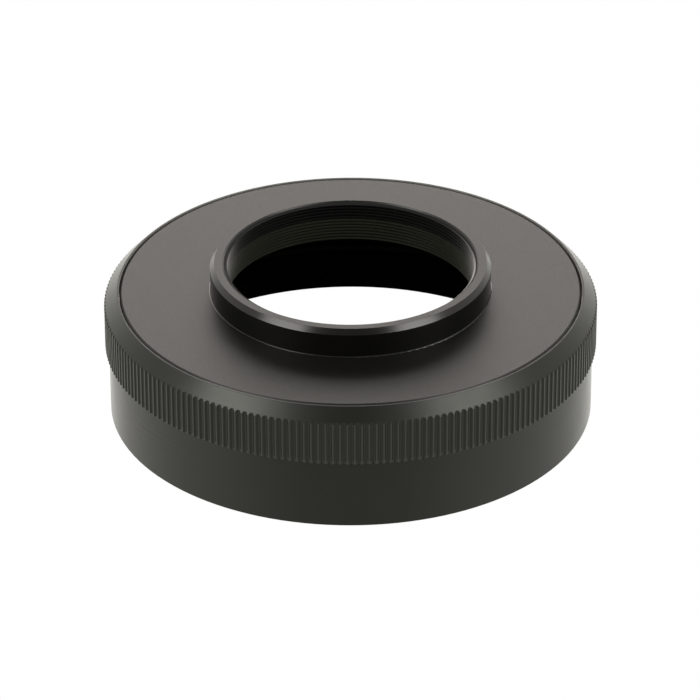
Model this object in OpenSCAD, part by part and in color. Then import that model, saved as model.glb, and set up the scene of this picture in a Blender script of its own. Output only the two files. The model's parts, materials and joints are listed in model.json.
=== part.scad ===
// Telescope adapter ring with a turning camera flange.
//
// Three turned aluminium pieces on one axis. The barrel screws onto the telescope and stands on its open
// mouth. The camera flange carries the camera thread in a raised collar, and its rim lies on the barrel's
// rim. The knurled clamp ring screws down over the barrel's spigot and pinches that rim under its lip, so
// a part turn back frees the camera to be rotated. Threads are drawn at their nominal diameter.
// The origin is the centre of the barrel's mouth and +Z points to the camera.

/* [Barrel] */
// Nominal diameter of the telescope thread in the mouth
mouth_d = 100; // [80:0.5:140]
// Length of the telescope thread
mouth_thread_l = 10; // [4:0.1:12]
// Wall of the smooth skirt outside the telescope thread
skirt_wall = 2.35; // [1.8:0.05:4]
// Height of the smooth skirt, up to its shoulder
skirt_h = 15.15; // [13:0.05:30]
// Width of the run-out groove behind the telescope thread
runout_w = 1.4; // [0.6:0.1:2]
// Depth of the run-out groove
runout_depth = 0.6; // [0.55:0.05:0.8]
// Width of the shoulder between the run-out groove and the plain bore
shoulder_w = 1.5; // [0.8:0.1:5]
// How far the clamp ring thread stands outside the telescope thread
spigot_step = 1; // [0.8:0.05:1.5]
// Height of the spigot above the shoulder
spigot_h = 9.55; // [8:0.05:20]

/* [Camera flange] */
// Nominal diameter of the camera thread
camera_d = 54; // [36:0.5:68]
// Wall of the collar round the camera thread
collar_wall = 3.25; // [2:0.05:6]
// Height of the collar above the flange face
collar_h = 6.45; // [3:0.05:12]
// Width of the collar's outer bevel, seen from above
collar_bevel_w = 0.95; // [0.2:0.05:1.2]
// Height of the collar's outer bevel
collar_bevel_h = 1.1; // [0.2:0.05:1.4]
// Radius of the fillet at the collar's foot
foot_fillet = 0.25; // [0.1:0.05:0.8]
// Thickness of the flange plate
flange_t = 3.15; // [2.5:0.05:4]
// Size of the chamfer round the flange face
face_chamfer = 0.5; // [0.1:0.05:0.6]
// How far the flange rim reaches out under the clamp ring's lip
rim_reach = 0.9; // [0.8:0.05:2]
// Depth of the register that centres the flange in the barrel
register_l = 2.4; // [1:0.1:6]
// Wall of the register
register_wall = 2.2; // [1:0.1:5]

/* [Clamp ring] */
// How far the knurled ridges stand out past the skirt
ring_step = 0.85; // [0.4:0.05:4]
// Thickness of the lip that holds the flange rim down
lip_t = 1.5; // [1:0.05:1.8]
// Width of the flat land on top of the lip
land_w = 0.4; // [0.3:0.05:1]
// Drop of the bevel from the land to the knurled band
bevel_h = 2.9; // [0.8:0.05:4]
// Number of flutes in the knurling
flute_n = 220; // [60:1:230]
// Radius of the ball-nosed cutter that makes the flutes
flute_r = 0.65; // [0.45:0.05:0.7]
// Depth of the flutes
flute_depth = 0.38; // [0.1:0.01:0.4]

/* [Edges and fits] */
// Edge break on the corners that a hand touches
edge_break = 0.1; // [0.05:0.05:0.3]
// Edge break inside the clamp ring's lip
lip_break = 0.1; // [0.05:0.05:0.25]
// Chamfer at the start of each thread
lead_in = 0.5; // [0.2:0.05:0.7]
// Entry chamfer of the camera thread in the collar's top face
camera_entry = 0.6; // [0.05:0.05:0.8]
// Radial clearance of the turning fits
run_gap = 0.05; // [0.02:0.01:0.1]
// Gap between the flange rim and the clamp ring's bore
rim_gap = 0.35; // [0.1:0.05:0.6]
// Gap between the clamp ring's lip and the flange face
lip_gap = 0.2; // [0.15:0.05:0.5]
// Gap between the clamp ring and the barrel's shoulder
ring_gap = 0.25; // [0.15:0.05:1]

/* [Hidden] */
$fn = 180;

// Barrel: radii from the telescope thread outwards, then heights
mouth_r = mouth_d / 2;
runout_r = mouth_r + runout_depth;
bore_r = mouth_r - shoulder_w;
skirt_r = mouth_r + skirt_wall;
spigot_r = mouth_r + spigot_step;
spigot_root_r = spigot_r - lead_in;
runout_end = mouth_thread_l + runout_w;
rim_z = skirt_h + spigot_h;

// Camera flange: it lies on the spigot's rim and its register turns in the plain bore
camera_r = camera_d / 2;
collar_r = camera_r + collar_wall;
register_r = bore_r - run_gap;
register_bore_r = register_r - register_wall;
register_z = rim_z - register_l;
face_z = rim_z + flange_t;
collar_top = face_z + collar_h;

// Clamp ring: its thread runs on the spigot and its top is level with the flange face
ring_bore_r = spigot_r + run_gap;
rim_r = ring_bore_r - rim_gap;
face_r = rim_r - rim_reach;
lip_r = face_r + lip_gap;
land_r = lip_r + land_w;
ring_r = skirt_r + ring_step;
ring_z = skirt_h + ring_gap;
lip_z = face_z - lip_t;
knurl_top = face_z - bevel_h;
flute_centre_r = ring_r - flute_depth + flute_r;

// A solid turned about Z from an outline of [radius, height] points
module turned(outline) {
    rotate_extrude() polygon(outline);
}

// Smooth skirt, shoulder and spigot outside; telescope thread, run-out groove and plain bore inside
module barrel() {
    color([0.11, 0.11, 0.10])
    turned([
        [mouth_r, 0],
        [skirt_r - edge_break, 0],
        [skirt_r, edge_break],
        [skirt_r, skirt_h - edge_break],
        [skirt_r - edge_break, skirt_h],
        [spigot_root_r, skirt_h],
        [spigot_root_r, skirt_h + lead_in],
        [spigot_r, skirt_h + 2 * lead_in],
        [spigot_r, rim_z - lead_in],
        [spigot_r - lead_in, rim_z],
        [bore_r, rim_z],
        [bore_r, runout_end + edge_break],
        [bore_r + edge_break, runout_end],
        [runout_r, runout_end],
        [runout_r, mouth_thread_l],
        [mouth_r, mouth_thread_l]
    ]);
}

// Fillet that fills the corner between the collar and the flange face
module collar_foot() {
    rotate_extrude()
    translate([collar_r, face_z])
    difference() {
        square(foot_fillet);
        translate([foot_fillet, foot_fillet]) circle(foot_fillet, $fn = 48);
    }
}

// Collar with the camera thread, on a flange with a rim to be clamped and a register to turn in the barrel
module camera_flange() {
    color([0.30, 0.29, 0.28])
    union() {
        turned([
            [camera_r + lead_in, rim_z],
            [camera_r, rim_z + lead_in],
            [camera_r, collar_top - camera_entry],
            [camera_r + camera_entry, collar_top],
            [collar_r - collar_bevel_w, collar_top],
            [collar_r, collar_top - collar_bevel_h],
            [collar_r, face_z],
            [face_r - face_chamfer, face_z],
            [face_r, face_z - face_chamfer],
            [face_r, lip_z],
            [rim_r, lip_z],
            [rim_r, rim_z],
            [register_r, rim_z],
            [register_r, register_z + edge_break],
            [register_r - edge_break, register_z],
            [register_bore_r, register_z],
            [register_bore_r, rim_z]
        ]);
        collar_foot();
    }
}

// Section of the knurled bar: a disc with a round-bottomed flute between every two ridges
module fluted_disc() {
    difference() {
        circle(ring_r);
        for (i = [0 : flute_n - 1])
            rotate(i * 360 / flute_n)
            translate([flute_centre_r, 0])
            circle(flute_r, $fn = 24);
    }
}

// Bevelled ring with its lip and thread bore, turned from the fluted bar
module clamp_ring() {
    color([0.14, 0.14, 0.12])
    intersection() {
        translate([0, 0, ring_z]) linear_extrude(face_z - ring_z) fluted_disc();
        turned([
            [ring_bore_r + lead_in, ring_z],
            [ring_r - edge_break, ring_z],
            [ring_r, ring_z + edge_break],
            [ring_r, knurl_top],
            [land_r, face_z],
            [lip_r + lip_break, face_z],
            [lip_r, face_z - lip_break],
            [lip_r, lip_z],
            [ring_bore_r, lip_z],
            [ring_bore_r, ring_z + lead_in]
        ]);
    }
}

barrel();
camera_flange();
clamp_ring();
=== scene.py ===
# %% [markdown]
# # A telescope adapter ring, dressed for a studio picture
#
# The part joins a camera to a telescope. Three turned aluminium pieces share one upright axis: a barrel
# with a smooth skirt, a flange with a raised collar for the camera, and a knurled clamp ring that locks the
# flange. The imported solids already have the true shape, so this lesson adds what a lathe and an anodising
# bath add: screw threads, rounded knurling and a fine black finish. Everything is in metres and stands on
# z = 0.

# %% Load the fixed frame
import json
import math
from types import SimpleNamespace

import bpy
from mathutils import Matrix, Vector


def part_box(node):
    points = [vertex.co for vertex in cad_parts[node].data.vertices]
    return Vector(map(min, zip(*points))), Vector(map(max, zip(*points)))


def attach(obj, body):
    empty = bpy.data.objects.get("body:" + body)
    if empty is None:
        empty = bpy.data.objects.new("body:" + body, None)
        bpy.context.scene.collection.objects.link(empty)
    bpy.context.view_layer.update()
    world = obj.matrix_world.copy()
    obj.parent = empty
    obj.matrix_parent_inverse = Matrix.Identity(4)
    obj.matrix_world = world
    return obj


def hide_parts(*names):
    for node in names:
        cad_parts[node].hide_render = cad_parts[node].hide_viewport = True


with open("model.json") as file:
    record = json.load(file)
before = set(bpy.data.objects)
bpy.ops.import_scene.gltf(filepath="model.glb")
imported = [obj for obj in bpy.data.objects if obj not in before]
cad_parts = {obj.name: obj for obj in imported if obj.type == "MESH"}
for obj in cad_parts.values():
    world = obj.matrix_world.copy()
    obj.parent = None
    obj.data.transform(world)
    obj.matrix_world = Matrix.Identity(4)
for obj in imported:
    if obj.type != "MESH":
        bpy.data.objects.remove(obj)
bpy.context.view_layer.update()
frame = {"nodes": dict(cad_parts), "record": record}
MM = 0.001
print("pieces in the frame:", ", ".join(sorted(frame["nodes"])))

# %% [markdown]
# Most sizes that the lesson needs are read from the solids' own boxes and from the record's mounts, so they
# follow the frame. The barrel gives the rim that the flange lies on, the flange gives the top of the collar,
# and the clamp ring gives the widest circle and the level of the flat face.

# %% Measure the solids
ring_low, ring_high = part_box("clamp_ring")
mounts = {mount["name"]: mount for mount in frame["record"]["mounts"]}
CAMERA_R = mounts["camera_thread"]["dims"]["r_mm"] * MM
MOUTH_R = mounts["telescope_thread"]["dims"]["r_mm"] * MM
MOUTH_L = mounts["telescope_thread"]["dims"]["length_mm"] * MM
RIM_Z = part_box("barrel")[1].z
RING_R = round(ring_high.x / MM, 2) * MM
RING_Z = ring_low.z
FACE_Z = ring_high.z
COLLAR_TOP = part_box("camera_flange")[1].z
print(f"ring {2 * RING_R / MM:.1f} mm across, face at {FACE_Z / MM:.1f} mm,",
      f"collar top at {COLLAR_TOP / MM:.2f} mm")

# %% [markdown]
# Product photographs like this one are taken from well back with a long lens, here 30 degrees above the
# table. The camera stands about a metre away, so that the circles keep the flattening they have in the
# picture. It is tipped by a fifth of a degree, as a hand-levelled tripod is.

# %% Stand the camera
CAMERA_TILT = math.radians(29.98)
CAMERA_ROLL = math.radians(-0.18)
CAMERA_DISTANCE = 1.0666
LENS = 252.5
aim = Vector((-0.16 * MM, 0, 12.25 * MM))
away = Vector((0, -math.cos(CAMERA_TILT), math.sin(CAMERA_TILT)))
camera = bpy.data.objects.new("camera", bpy.data.cameras.new("camera"))
bpy.context.collection.objects.link(camera)
camera.data.sensor_width = 36
camera.data.lens = LENS
camera.data.clip_start = 0.05
camera.data.clip_end = 50
camera.location = aim + away * CAMERA_DISTANCE
facing = away.to_track_quat("Z", "Y").to_matrix().to_4x4()
roll = Matrix.Rotation(CAMERA_ROLL, 4, "Z")
camera.matrix_world = Matrix.Translation(camera.location) @ facing @ roll
bpy.context.scene.camera = camera
print(f"camera {CAMERA_DISTANCE:.3f} m away, lens {LENS} mm")

# %% [markdown]
# A catalogue picture stands on plain white. The floor and the dome round it glow for the camera alone: they
# are left out of mirror images, of bounced light and of shadow, so that what the metal mirrors can be built
# apart from them, further on.

# %% Two ways to treat a stage surface
bpy.context.scene.view_settings.view_transform = "Standard"


def glowing(name, strength):
    """A plain white surface of a given brightness."""
    mat = bpy.data.materials.new(name)
    mat.use_nodes = True
    tree = mat.node_tree
    tree.nodes.clear()
    glow = tree.nodes.new("ShaderNodeEmission")
    glow.inputs["Strength"].default_value = strength
    out = tree.nodes.new("ShaderNodeOutputMaterial")
    tree.links.new(glow.outputs["Emission"], out.inputs["Surface"])
    return mat


def seen_only_by_camera(obj):
    """Keeps a stage surface out of reflections, bounced light and shadow."""
    obj.visible_diffuse = False
    obj.visible_glossy = False
    obj.visible_transmission = False
    obj.visible_volume_scatter = False
    obj.visible_shadow = False


print("stage surfaces can glow, and can be seen by the camera alone")

# %% [markdown]
# The floor is a wide disc at z = 0, where the part stands, and the dome is a sphere round both. They are the
# same white, so no horizon shows.

# %% White floor and surround
STAGE_R = 4.0
bpy.ops.object.select_all(action="DESELECT")
bpy.ops.mesh.primitive_circle_add(vertices=96, radius=STAGE_R, fill_type="NGON")
floor = bpy.context.active_object
floor.name = "floor"
bpy.ops.mesh.primitive_uv_sphere_add(segments=48, ring_count=24, radius=STAGE_R)
surround = bpy.context.active_object
surround.name = "surround"
for piece in (floor, surround):
    piece.data.materials.append(glowing(piece.name + "_white", 1.0))
    seen_only_by_camera(piece)
print(f"white floor and dome, {STAGE_R} m in radius")

# %% [markdown]
# Under the part the paper lies in shadow and lights nothing inside, although it still looks white through
# the bore. A dark disc that the camera doesn't see stands in for that shadow. Its edge is hidden in the
# barrel's wall, and it floats a hair above the floor, so that the two never share a plane.

# %% Shade inside the mouth
SHADE_R = MOUTH_R + 1.0 * MM
SHADE_Z = 0.03 * MM
bpy.ops.object.select_all(action="DESELECT")
bpy.ops.mesh.primitive_circle_add(vertices=96, radius=SHADE_R, fill_type="NGON", location=(0, 0, SHADE_Z))
shade_disc = bpy.context.active_object
shade_disc.name = "mouth_shade"
shade_disc.visible_camera = False
shade_disc.data.materials.append(glowing("mouth_shade", 0.0))
print(f"shade disc {2 * SHADE_R / MM:.0f} mm across")

# %% [markdown]
# The room and every finish are small trees of nodes. Two helpers keep them short: one does a sum, and one
# turns a number into a grey along a ramp.

# %% Helpers for node trees


def ramp(tree, source, stops):
    """A ColorRamp of greys, from a list of place and value."""
    node = tree.nodes.new("ShaderNodeValToRGB")
    for _ in stops[2:]:
        node.color_ramp.elements.new(0.5)
    for element, (place, value) in zip(node.color_ramp.elements, sorted(stops)):
        element.position = place
        element.color = (value, value, value, 1)
    tree.links.new(source, node.inputs["Fac"])
    return node.outputs["Color"]


def calc(tree, operation, first, second=None, third=None):
    """One Math node. A number goes in as a value, a socket as a link."""
    node = tree.nodes.new("ShaderNodeMath")
    node.operation = operation
    for place, value in enumerate((first, second, third)):
        if value is None:
            continue
        if isinstance(value, (int, float)):
            node.inputs[place].default_value = value
        else:
            tree.links.new(value, node.inputs[place])
    return node.outputs["Value"]


print("node helpers: ramp, calc")

# %% [markdown]
# Black metal shows mostly what it mirrors, so the room round the part matters as much as the lamps. It is a
# paper sweep: brightest low down behind the part, even at the sides, and dimmer in front, where the camera
# and the dark part of the room are. One ramp from front to back gives the sweep's brightness, a second one
# gives the dark ceiling's, and the height of the view direction fades from the one to the other.

# %% Paper sweep round the part
ROOM_BRIGHTNESS = 2.0
ROOM_COLOUR = (1.0, 0.99, 0.94, 1)
SWEEP_STOPS = [(0.065, 0.24), (0.28, 0.42), (0.5, 0.43), (0.72, 0.44), (0.8, 0.47),
               (0.87, 0.58), (0.935, 0.74), (0.97, 0.88), (1.0, 0.98)]
CEILING_STOPS = [(0.3, 0.12), (0.45, 0.02)]
HEIGHT_STOPS = [(0.52, 0.0), (0.72, 1.0)]
world = bpy.data.worlds.new("studio")
bpy.context.scene.world = world
world.use_nodes = True
room = world.node_tree
direction = room.nodes.new("ShaderNodeSeparateXYZ")
room.links.new(room.nodes.new("ShaderNodeTexCoord").outputs["Generated"], direction.inputs["Vector"])
front_to_back = calc(room, "MULTIPLY_ADD", direction.outputs["Y"], 0.5, 0.5)
sweep = ramp(room, front_to_back, SWEEP_STOPS)
ceiling = ramp(room, front_to_back, CEILING_STOPS)
height = ramp(room, direction.outputs["Z"], HEIGHT_STOPS)
low_part = calc(room, "MULTIPLY", sweep, calc(room, "SUBTRACT", 1.0, height))
whole = calc(room, "MULTIPLY_ADD", ceiling, height, low_part)
background = room.nodes["Background"]
room.links.new(calc(room, "MULTIPLY", whole, ROOM_BRIGHTNESS), background.inputs["Strength"])
background.inputs["Color"].default_value = ROOM_COLOUR
print(f"paper sweep: {len(SWEEP_STOPS)} levels from front to back")

# %% [markdown]
# Three soft boxes do the rest. A wide, slightly warm panel behind lights the flat face, and two boxes high
# at the front corners draw the bright bars on the bevels.

# %% Soft boxes
BOX_DISTANCE = 1.2


def softbox(name, azimuth, elevation, width, height, brightness, colour=(1, 1, 1)):
    """A rectangular light that faces the part. Azimuth 0 is the camera's side and 90 its right."""
    a, e = math.radians(azimuth), math.radians(elevation)
    place = Vector((math.sin(a) * math.cos(e), -math.cos(a) * math.cos(e), math.sin(e))) * BOX_DISTANCE
    lamp = bpy.data.lights.new(name, "AREA")
    lamp.shape = "RECTANGLE"
    lamp.size = width
    lamp.size_y = height
    lamp.energy = brightness * math.pi * width * height
    lamp.color = colour
    obj = bpy.data.objects.new(name, lamp)
    bpy.context.collection.objects.link(obj)
    obj.location = place
    obj.rotation_euler = place.to_track_quat("Z", "Y").to_euler()
    print(f"{name}: {width} by {height} m, {lamp.energy:.1f} W")


softbox("back_panel", azimuth=180, elevation=19, width=1.3, height=0.76, brightness=2.1,
        colour=(1.0, 0.92, 0.88))
softbox("left_box", azimuth=-63, elevation=46, width=0.58, height=0.42, brightness=6.0)
softbox("right_box", azimuth=63, elevation=46, width=0.58, height=0.42, brightness=6.0)

# %% [markdown]
# A turned piece starts as a section: the outline that the tool follows, as points of radius and height. A
# plane is shrunk to one point, and the point is extruded from corner to corner. Two kinds of section are
# needed, a bare outline to be wound into a thread, and a filled one to be spun into a solid.

# %% Draw a section point by point


def deselect_all():
    if bpy.context.mode != "OBJECT":
        bpy.ops.object.mode_set(mode="OBJECT")
    bpy.ops.object.select_all(action="DESELECT")


def draw_section(name, points, fill=False):
    """A closed outline of (radius, height) points in the half plane y = 0."""
    deselect_all()
    bpy.ops.mesh.primitive_plane_add(size=MM)
    piece = bpy.context.active_object
    piece.name = name
    bpy.ops.object.mode_set(mode="EDIT")
    bpy.ops.mesh.select_all(action="SELECT")
    bpy.ops.mesh.merge(type="CENTER")
    last = Vector((0, 0, 0))
    for count, (radius, height) in enumerate(points):
        step = Vector((radius, 0, height)) - last
        if count == 0:
            bpy.ops.transform.translate(value=step)
        else:
            bpy.ops.mesh.extrude_region_move(TRANSFORM_OT_translate={"value": step})
        last += step
    bpy.ops.mesh.select_all(action="SELECT")
    bpy.ops.mesh.edge_face_add()
    if not fill:
        bpy.ops.mesh.delete(type="ONLY_FACE")
    bpy.ops.object.mode_set(mode="OBJECT")
    return piece


print("sections are drawn from points of radius and height")

# %% [markdown]
# A screw thread inside a bore is one ridge wound up like a spring. The tap leaves it with flanks at 60
# degrees and a narrow flat crest. The ridge's section is wound by the Screw modifier, past both ends of the
# thread, and cut off level there with bisect, as the faces of the flange cut the real thread. Its foot is
# sunk a little into the wall, so that no gap shows. The height of one crest on the far side sets the turn at
# which the thread starts.

# %% Wind one ridge
THREAD_SUNK = 0.06 * MM
HALF_FLANK_ANGLE = math.radians(30)
SPARE_TURNS = 3
STEPS_PER_TURN = 144


def wind_ridge(name, radius, pitch, depth, low, high, crest):
    """Winds a thread's section past both heights, with one crest at a given height on the far side."""
    half_foot = pitch * 7 / 16 + THREAD_SUNK * math.tan(HALF_FLANK_ANGLE)
    half_crest = pitch / 8
    start = (crest - pitch / 4 - low) % pitch
    middle = low + start - 2 * pitch
    piece = draw_section(name, [
        (radius + THREAD_SUNK, middle - half_foot),
        (radius + THREAD_SUNK, middle + half_foot),
        (radius - depth, middle + half_crest),
        (radius - depth, middle - half_crest),
    ])
    screw = piece.modifiers.new("wind", "SCREW")
    screw.axis = "Z"
    screw.angle = 2 * math.pi
    screw.screw_offset = pitch
    screw.iterations = math.ceil((high - low) / pitch) + SPARE_TURNS
    screw.steps = screw.render_steps = STEPS_PER_TURN
    screw.use_merge_vertices = False
    bpy.ops.object.modifier_apply(modifier="wind")
    return piece


print("thread sections are wound by the Screw modifier")

# %% [markdown]
# A real thread begins and ends at a face of its piece. Bisect with fill gives the ridge the same two flat
# ends, and the helper that joins both steps also says which piece the thread was cut in, so that it turns
# with that piece.

# %% Cut the ridge to its length


def cut_level(low, high):
    """Cuts the active piece off at two heights and closes the cuts."""
    bpy.ops.object.mode_set(mode="EDIT")
    for level, keep_above in ((low, True), (high, False)):
        bpy.ops.mesh.select_all(action="SELECT")
        bpy.ops.mesh.bisect(plane_co=(0, 0, level), plane_no=(0, 0, 1), use_fill=True,
                            clear_inner=keep_above, clear_outer=not keep_above, threshold=1e-7)
    bpy.ops.mesh.select_all(action="SELECT")
    bpy.ops.mesh.normals_make_consistent(inside=False)
    bpy.ops.object.mode_set(mode="OBJECT")


def make_thread(name, radius, pitch, depth, low, high, crest, body):
    """An internal thread between two heights, which rides on the piece it is cut in."""
    piece = wind_ridge(name, radius, pitch, depth, low, high, crest)
    cut_level(low, high)
    bpy.ops.object.shade_smooth_by_angle(angle=math.radians(25))
    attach(piece, body)
    print(f"{name}: {len(piece.data.polygons)} faces, {(high - low) / pitch:.1f} turns")
    return piece


print("ridges are cut level by bisect")

# %% [markdown]
# The camera thread has a pitch of 0.75 mm and ends under the chamfer in the collar's top. The telescope
# thread has the usual pitch of 1 mm for its size and ends just short of the run-out groove.

# %% Wind both threads
CAMERA_PITCH = 0.75 * MM
CAMERA_THREAD_DEPTH = 0.406 * MM
CAMERA_ENTRY = 0.6 * MM
MOUTH_PITCH = 1.0 * MM
MOUTH_THREAD_DEPTH = 0.541 * MM
camera_ridge = make_thread(
    "camera_thread_ridge", CAMERA_R, CAMERA_PITCH, CAMERA_THREAD_DEPTH, low=RIM_Z + 0.5 * MM,
    high=COLLAR_TOP - CAMERA_ENTRY, crest=COLLAR_TOP - 0.723 * MM,
    body="camera_flange")
mouth_ridge = make_thread(
    "telescope_thread_ridge", MOUTH_R, MOUTH_PITCH, MOUTH_THREAD_DEPTH, low=0.4 * MM,
    high=MOUTH_L - 0.2 * MM, crest=MOUTH_L - 0.5 * MM,
    body="barrel")

# %% [markdown]
# The clamp ring is the piece that a hand grips. On the real one a ball-nosed cutter runs down the turned
# ring 220 times. One flute and half of the ridge on each side of it make one sector, so one sector is
# modelled and repeated. It starts as the ring's filled section, spun by a 220th of a turn.
# The sizes inside the ring can't be read from its box and are written out here.

# %% Spin one sector of the ring
FLUTES = 220
SECTOR = 2 * math.pi / FLUTES
LIP_R = 50.0 * MM
LAND_R = 50.4 * MM
RING_BORE_R = 51.05 * MM
LIP_Z = FACE_Z - 1.5 * MM
KNURL_TOP = FACE_Z - 2.9 * MM
CORNER_BREAK = 0.1 * MM
THREAD_LEAD = 0.5 * MM
sector = draw_section("knurled_clamp_ring", [
    (RING_BORE_R + THREAD_LEAD, RING_Z),
    (RING_R - CORNER_BREAK, RING_Z),
    (RING_R, RING_Z + CORNER_BREAK),
    (RING_R, KNURL_TOP),
    (LAND_R, FACE_Z),
    (LIP_R + CORNER_BREAK, FACE_Z),
    (LIP_R, FACE_Z - CORNER_BREAK),
    (LIP_R, LIP_Z),
    (RING_BORE_R, LIP_Z),
    (RING_BORE_R, RING_Z + THREAD_LEAD),
], fill=True)
bpy.ops.object.mode_set(mode="EDIT")
bpy.ops.mesh.select_all(action="SELECT")
bpy.ops.mesh.spin(steps=1, angle=SECTOR, center=(0, 0, 0), axis=(0, 0, 1))
bpy.ops.mesh.select_all(action="SELECT")
bpy.ops.transform.rotate(value=-SECTOR / 2, orient_axis="Z", center_override=(0, 0, 0))
bpy.ops.mesh.normals_make_consistent(inside=False)
bpy.ops.object.mode_set(mode="OBJECT")
angles = [math.degrees(math.atan2(v.co.y, v.co.x)) for v in sector.data.vertices]
print(f"sector spans {min(angles):.3f} to {max(angles):.3f} degrees, {len(sector.data.polygons)} faces")

# %% [markdown]
# The cutter's nose is a half circle, so a cylinder taken away with a Boolean cuts the flute. Its axis lies
# outside the ring, which makes the flute shallower than the cutter's radius. Where it meets the bevel it
# runs out in a rounded tip of its own accord.

# %% Cut one flute
FLUTE_R = 0.65 * MM
FLUTE_DEPTH = 0.38 * MM
FLUTE_AXIS = RING_R - FLUTE_DEPTH + FLUTE_R
deselect_all()
bpy.ops.mesh.primitive_cylinder_add(vertices=24, radius=FLUTE_R, depth=2 * (FACE_Z - RING_Z),
                                    location=(FLUTE_AXIS, 0, (FACE_Z + RING_Z) / 2))
cutter = bpy.context.active_object
deselect_all()
sector.select_set(True)
bpy.context.view_layer.objects.active = sector
cut = sector.modifiers.new("flute", "BOOLEAN")
cut.operation = "DIFFERENCE"
cut.solver = "EXACT"
cut.object = cutter
bpy.ops.object.modifier_apply(modifier="flute")
bpy.data.objects.remove(cutter, do_unlink=True)
print(f"one flute cut: {len(sector.data.polygons)} faces")

# %% [markdown]
# The two side walls of the sector would stay inside the finished ring, so they are taken out.

# %% Open the sides of the sector


def corners(item):
    """The places of an edge's or a face's corners."""
    return [sector.data.vertices[i].co for i in item.vertices]


def on_side(point):
    """True where a point lies on one of the two planes between this sector and the next."""
    return abs(abs(math.atan2(point.y, point.x)) - SECTOR / 2) < 1e-5


bpy.context.tool_settings.mesh_select_mode = (False, False, True)
for item in [*sector.data.vertices, *sector.data.edges, *sector.data.polygons]:
    item.select = False
for face in sector.data.polygons:
    face.select = abs(face.normal.y) > 0.9 and all(on_side(p) for p in corners(face))
bpy.ops.object.mode_set(mode="EDIT")
bpy.ops.mesh.delete(type="FACE")
bpy.ops.object.mode_set(mode="OBJECT")
print(f"sides open: {len(sector.data.polygons)} faces")

# %% [markdown]
# The cutter leaves sharp ridges, and tumbling rounds them. That narrow round is what catches the light, so
# the sharp edges along the flute's wall get a bevel of a twentieth of a millimetre.

# %% Round the ridges
EDGE_ROUND = 0.05 * MM


def on_flute(point):
    """True where a point lies on the wall of the flute."""
    return abs(math.hypot(point.x - FLUTE_AXIS, point.y) - FLUTE_R) < 0.01 * MM


bpy.ops.object.mode_set(mode="EDIT")
bpy.context.tool_settings.mesh_select_mode = (False, True, False)
bpy.ops.mesh.select_all(action="DESELECT")
bpy.ops.mesh.edges_select_sharp(sharpness=math.radians(30))
bpy.ops.object.mode_set(mode="OBJECT")
for edge in sector.data.edges:
    edge.select = edge.select and all(on_flute(p) for p in corners(edge))
print("ridge edges:", sum(edge.select for edge in sector.data.edges))
bpy.ops.object.mode_set(mode="EDIT")
bpy.ops.mesh.bevel(offset=EDGE_ROUND, offset_type="OFFSET", segments=2, profile=0.5,
                   affect="EDGES", clamp_overlap=True)
bpy.ops.object.mode_set(mode="OBJECT")
print(f"ridges rounded: {len(sector.data.polygons)} faces")

# %% [markdown]
# Spin with copies lays the sector round the axis, and merging by distance sews the copies together. The
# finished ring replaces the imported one, which has the same shape with sharp ridges.

# %% Repeat the sector round the ring
MERGE_DISTANCE = 0.002 * MM
bpy.ops.object.mode_set(mode="EDIT")
bpy.ops.mesh.select_all(action="SELECT")
bpy.ops.mesh.spin(steps=FLUTES - 1, dupli=True, angle=SECTOR * (FLUTES - 1),
                  center=(0, 0, 0), axis=(0, 0, 1))
bpy.ops.mesh.select_all(action="SELECT")
bpy.ops.mesh.remove_doubles(threshold=MERGE_DISTANCE)
bpy.ops.mesh.normals_make_consistent(inside=False)
bpy.ops.object.mode_set(mode="OBJECT")
bpy.ops.object.shade_smooth_by_angle(angle=math.radians(30))
weigh = sector.modifiers.new("even_shading", "WEIGHTED_NORMAL")
weigh.keep_sharp = True
bpy.ops.object.modifier_apply(modifier="even_shading")
knurled_ring = sector
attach(knurled_ring, "clamp_ring")
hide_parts("clamp_ring")
print(f"knurled ring: {len(knurled_ring.data.polygons)} faces, {FLUTES} flutes")

# %% [markdown]
# Black anodising is a thin glassy layer over dark metal: almost no colour of its own, and a mirror image
# blurred by the grain that the tool left. So each finish is a very dark base with a roughness, and the
# detail is in how the roughness and the surface change from place to place. The helpers below read a place
# on the piece, make a noise there, stretch it to a range, and go from one value or colour to another.

# %% Helpers for finishes


def object_space(tree):
    """Object position, its distance from the part's axis, and its height."""
    where = tree.nodes.new("ShaderNodeTexCoord").outputs["Object"]
    split = tree.nodes.new("ShaderNodeSeparateXYZ")
    tree.links.new(where, split.inputs["Vector"])
    x, y, z = (split.outputs[i] for i in "XYZ")
    across = calc(tree, "SQRT", calc(tree, "MULTIPLY_ADD", x, x, calc(tree, "MULTIPLY", y, y)))
    return where, across, z


def noise(tree, vector, scale, detail=2.0):
    """A cloudy noise, mostly between 0.3 and 0.7."""
    node = tree.nodes.new("ShaderNodeTexNoise")
    node.inputs["Scale"].default_value = scale
    node.inputs["Detail"].default_value = detail
    tree.links.new(vector, node.inputs["Vector"])
    return node.outputs["Fac"]


def between(tree, source, low, high):
    """Stretches a noise from its usual 0.3 to 0.7 to a range of values."""
    node = tree.nodes.new("ShaderNodeMapRange")
    for name, value in (("From Min", 0.3), ("From Max", 0.7), ("To Min", low), ("To Max", high)):
        node.inputs[name].default_value = value
    tree.links.new(source, node.inputs["Value"])
    return node.outputs["Result"]


def blend(tree, kind, factor, first, second):
    """Goes from the first value or colour to the second as the factor rises from 0 to 1."""
    node = tree.nodes.new("ShaderNodeMix")
    node.data_type = kind
    for name, value in (("Factor", factor), ("A", first), ("B", second)):
        if isinstance(value, tuple):
            node.inputs[name].default_value = (*value, 1)
        else:
            tree.links.new(value, node.inputs[name])
    return node.outputs["Result"]


print("finish helpers: object_space, noise, between, blend")

# %% [markdown]
# Dye never takes quite evenly in the bath, so a black piece has two blacks that run into each other.

# %% Two tints in patches


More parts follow.
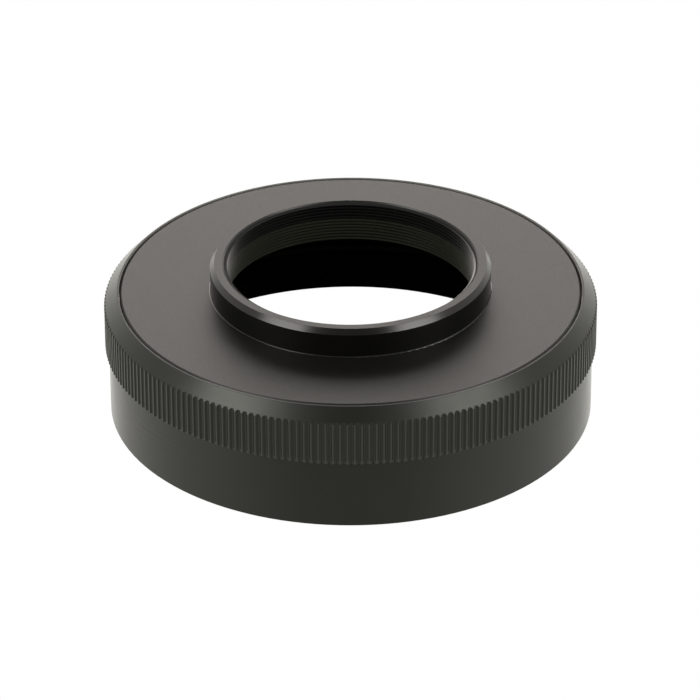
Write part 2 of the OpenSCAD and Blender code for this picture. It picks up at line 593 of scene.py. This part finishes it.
def patchy_colour(tree, source, first, second):
    """A colour that goes from one to another with a noise."""
    node = tree.nodes.new("ShaderNodeValToRGB")
    for element, place, colour in zip(node.color_ramp.elements, (0.35, 0.65), (first, second)):
        element.position = place
        element.color = (*colour, 1)
    tree.links.new(source, node.inputs["Fac"])
    return node.outputs["Color"]


print("patchy colours go from one tint to another")

# %% [markdown]
# A lathe leaves fine rings, which are a noise read in radius and height only. Handling and the bath leave
# faint cloudy patches, which are a slower noise read in all three directions. The glassy layer tints what
# it mirrors a little green or warm.

# %% Satin black, as turned
RING_NOISE = 4500
PATCH_NOISE = 130


def black_anodised(name, first, second, roughness, mirror_tint):
    """Satin black with turning rings and cloudy patches, and the parts that a finish can build on."""
    mat = bpy.data.materials.new(name)
    mat.use_nodes = True
    tree = mat.node_tree
    shader = tree.nodes["Principled BSDF"]
    shader.inputs["IOR"].default_value = 1.5
    shader.inputs["Specular Tint"].default_value = (*mirror_tint, 1)
    where, across, z = object_space(tree)
    rings = tree.nodes.new("ShaderNodeCombineXYZ")
    tree.links.new(across, rings.inputs["X"])
    tree.links.new(z, rings.inputs["Z"])
    patches = noise(tree, where, PATCH_NOISE)
    colour = patchy_colour(tree, patches, first, second)
    tree.links.new(colour, shader.inputs["Base Color"])
    turned = noise(tree, rings.outputs["Vector"], RING_NOISE, 1.0)
    rough = calc(tree, "ADD", between(tree, patches, *roughness), between(tree, turned, -0.02, 0.02))
    tree.links.new(rough, shader.inputs["Roughness"])
    bump = tree.nodes.new("ShaderNodeBump")
    bump.inputs["Strength"].default_value = 0.12
    bump.inputs["Distance"].default_value = 0.02 * MM
    tree.links.new(turned, bump.inputs["Height"])
    tree.links.new(bump.outputs["Normal"], shader.inputs["Normal"])
    return SimpleNamespace(material=mat, tree=tree, shader=shader, where=where, across=across, z=z,
                           colour=colour, rough=rough, normal=bump.outputs["Normal"])


print("satin black is ready")

# %% [markdown]
# Barrel and clamp ring come from the same bath and share two near blacks, one a touch green and one a touch
# warm. The ring is the rougher of the two, because it is the one that hands turn.

# %% Finish of the barrel and the ring
GREENISH_BLACK = (0.0040, 0.0042, 0.0026)
WARM_BLACK = (0.0048, 0.0040, 0.0034)
GREEN_MIRROR = (0.98, 1.0, 0.90)
barrel = black_anodised("barrel_anodised", GREENISH_BLACK, WARM_BLACK,
                        roughness=(0.27, 0.31), mirror_tint=GREEN_MIRROR)
ring = black_anodised("ring_anodised", GREENISH_BLACK, WARM_BLACK,
                      roughness=(0.32, 0.36), mirror_tint=GREEN_MIRROR)
print("finishes:", barrel.material.name, "and", ring.material.name)

# %% [markdown]
# The last tenth of a millimetre of each ridge is painted paler, a painted highlight that makes the ridges
# read as bright lines. The thin lip's inner edge is painted pale, painted light in the narrow gap between
# the lip and the flange. The narrow land on top of the lip is duller than the bevel.

# %% Painted light and a duller land on the clamp ring
CREST_HIGHLIGHT_DEPTH = 0.12 * MM
LIP_EDGE_W = 0.12 * MM
SKIN = 0.03 * MM
LAND_DULLER = 0.18
# Painted highlight colour for the ridge crests, and painted light colour for the lip's inner edge.
CREST_PAINTED_HIGHLIGHT = (0.034, 0.035, 0.029)
LIP_PAINTED_LIGHT = (0.15, 0.145, 0.135)
tree = ring.tree
# Painted highlight: the outermost tenth of a millimetre of each ridge turns paler.
into_crest = calc(tree, "MULTIPLY_ADD", ring.across, 1 / CREST_HIGHLIGHT_DEPTH, -(RING_R - CREST_HIGHLIGHT_DEPTH) / CREST_HIGHLIGHT_DEPTH)
crest = ramp(tree, into_crest, [(0.2, 0.0), (0.8, 1.0)])
with_crest_highlight = blend(tree, "RGBA", crest, ring.colour, CREST_PAINTED_HIGHLIGHT)
# Painted light: the lip's inner edge, seen down the narrow gap to the flange, is painted pale.
lip_light_mask = calc(tree, "LESS_THAN", ring.across, LIP_R + LIP_EDGE_W)
painted_light = blend(tree, "RGBA", lip_light_mask, with_crest_highlight, LIP_PAINTED_LIGHT)
tree.links.new(painted_light, ring.shader.inputs["Base Color"])
on_land = calc(tree, "GREATER_THAN", ring.z, FACE_Z - SKIN)
with_land = calc(tree, "MULTIPLY_ADD", on_land, LAND_DULLER, ring.rough)
tree.links.new(with_land, ring.shader.inputs["Roughness"])
# The paler ridge crests are a painted highlight, and the pale lip edge is painted light.
print("clamp ring: rubbed ridges, bare lip edge, dull land")

# %% [markdown]
# The flange has four zones, each found by its place. Its flat face was blasted with fine grit before
# anodising, so that no light from the lens bounces off it, and so was the collar's top. The thread inside
# the collar is dull. Its lower turns are painted a lighter olive, a painted reflection of the pool of light
# that falls through the bore onto the paper below. Its upper turns stay near black as painted shade. The tap
# has scraped the chamfer above the thread. Everything else keeps the satin finish.

# %% Zones of the flange
COLLAR_R = CAMERA_R + 3.25 * MM
FOOT_FILLET = 0.25 * MM
FACE_SKIN = 0.25 * MM
CHAMFER_DROP = 0.46 * MM
CHAMFER_HALF = 0.16 * MM
LOWER_TURNS_DROP = 3.9 * MM
flange = black_anodised("flange_blasted", (0.0016, 0.0016, 0.0014), (0.0020, 0.0018, 0.0016),
                        roughness=(0.20, 0.24), mirror_tint=(1.0, 0.98, 0.94))
tree = flange.tree
at_face = calc(tree, "GREATER_THAN", flange.z, FACE_Z - FACE_SKIN)
outside_foot = calc(tree, "GREATER_THAN", flange.across, COLLAR_R + FOOT_FILLET)
on_top = calc(tree, "GREATER_THAN", flange.z, COLLAR_TOP - SKIN)
blasted = calc(tree, "MAXIMUM", calc(tree, "MULTIPLY", at_face, outside_foot), on_top)
in_bore = calc(tree, "LESS_THAN", flange.across, CAMERA_R + CAMERA_ENTRY)
in_thread = calc(tree, "MULTIPLY", in_bore, calc(tree, "SUBTRACT", 1.0, on_top))
near_chamfer = calc(tree, "COMPARE", flange.z, COLLAR_TOP - CHAMFER_DROP, CHAMFER_HALF)
on_chamfer = calc(tree, "MULTIPLY", in_bore, near_chamfer)
# Mask for the lower thread turns, which carry the painted reflection.
lower_turns_painted_lit = calc(tree, "LESS_THAN", flange.z, COLLAR_TOP - LOWER_TURNS_DROP)
print("flange zones: blasted face and top, thread, chamfer, satin rest")

# %% [markdown]
# Colour, roughness and surface are then set zone by zone. The grit's pits are a fine noise that drives both
# the roughness of the face and a bump on top of the turning rings.

# %% Finish of the flange
# Colours for the painted shade on the upper thread turns and the painted reflection on the lower ones.
UPPER_TURNS_PAINTED_SHADE = (0.005, 0.005, 0.005)
LOWER_TURNS_PAINTED_REFLECTION = (0.021, 0.022, 0.015)
GRIT_NOISE = 3500
PIT_DEPTH = 0.03 * MM
THREAD_DULLER = 0.10
CHAMFER_DULLER = 0.55
# Painted light: the lower turns get a lighter olive as a painted reflection of light on the paper under the
# bore, and the upper turns a near black as painted shade.
thread_painted_light = blend(tree, "RGBA", lower_turns_painted_lit, UPPER_TURNS_PAINTED_SHADE, LOWER_TURNS_PAINTED_REFLECTION)
with_thread_painted_light = blend(tree, "RGBA", in_bore, flange.colour, thread_painted_light)
tree.links.new(with_thread_painted_light, flange.shader.inputs["Base Color"])
grit = noise(tree, flange.where, GRIT_NOISE, 3.0)
face_or_satin = blend(tree, "FLOAT", blasted, flange.rough, between(tree, grit, 0.44, 0.52))
with_thread = calc(tree, "MULTIPLY_ADD", in_thread, THREAD_DULLER, face_or_satin)
with_chamfer = calc(tree, "MULTIPLY_ADD", on_chamfer, CHAMFER_DULLER, with_thread)
tree.links.new(with_chamfer, flange.shader.inputs["Roughness"])
pits = tree.nodes.new("ShaderNodeBump")
pits.inputs["Distance"].default_value = PIT_DEPTH
tree.links.new(calc(tree, "MULTIPLY", blasted, 0.25), pits.inputs["Strength"])
tree.links.new(grit, pits.inputs["Height"])
tree.links.new(flange.normal, pits.inputs["Normal"])
tree.links.new(pits.outputs["Normal"], flange.shader.inputs["Normal"])
print("finish:", flange.material.name)

# %% [markdown]
# Each piece now puts on its finish. A thread was cut in its piece and anodised with it, so it wears the
# same one.

# %% Give every piece its finish


def wear(obj, finish):
    obj.data.materials.clear()
    obj.data.materials.append(finish.material)
    print(f"{obj.name} wears {finish.material.name}")


wear(frame["nodes"]["barrel"], barrel)
wear(frame["nodes"]["camera_flange"], flange)
wear(knurled_ring, ring)
wear(camera_ridge, flange)
wear(mouth_ridge, barrel)
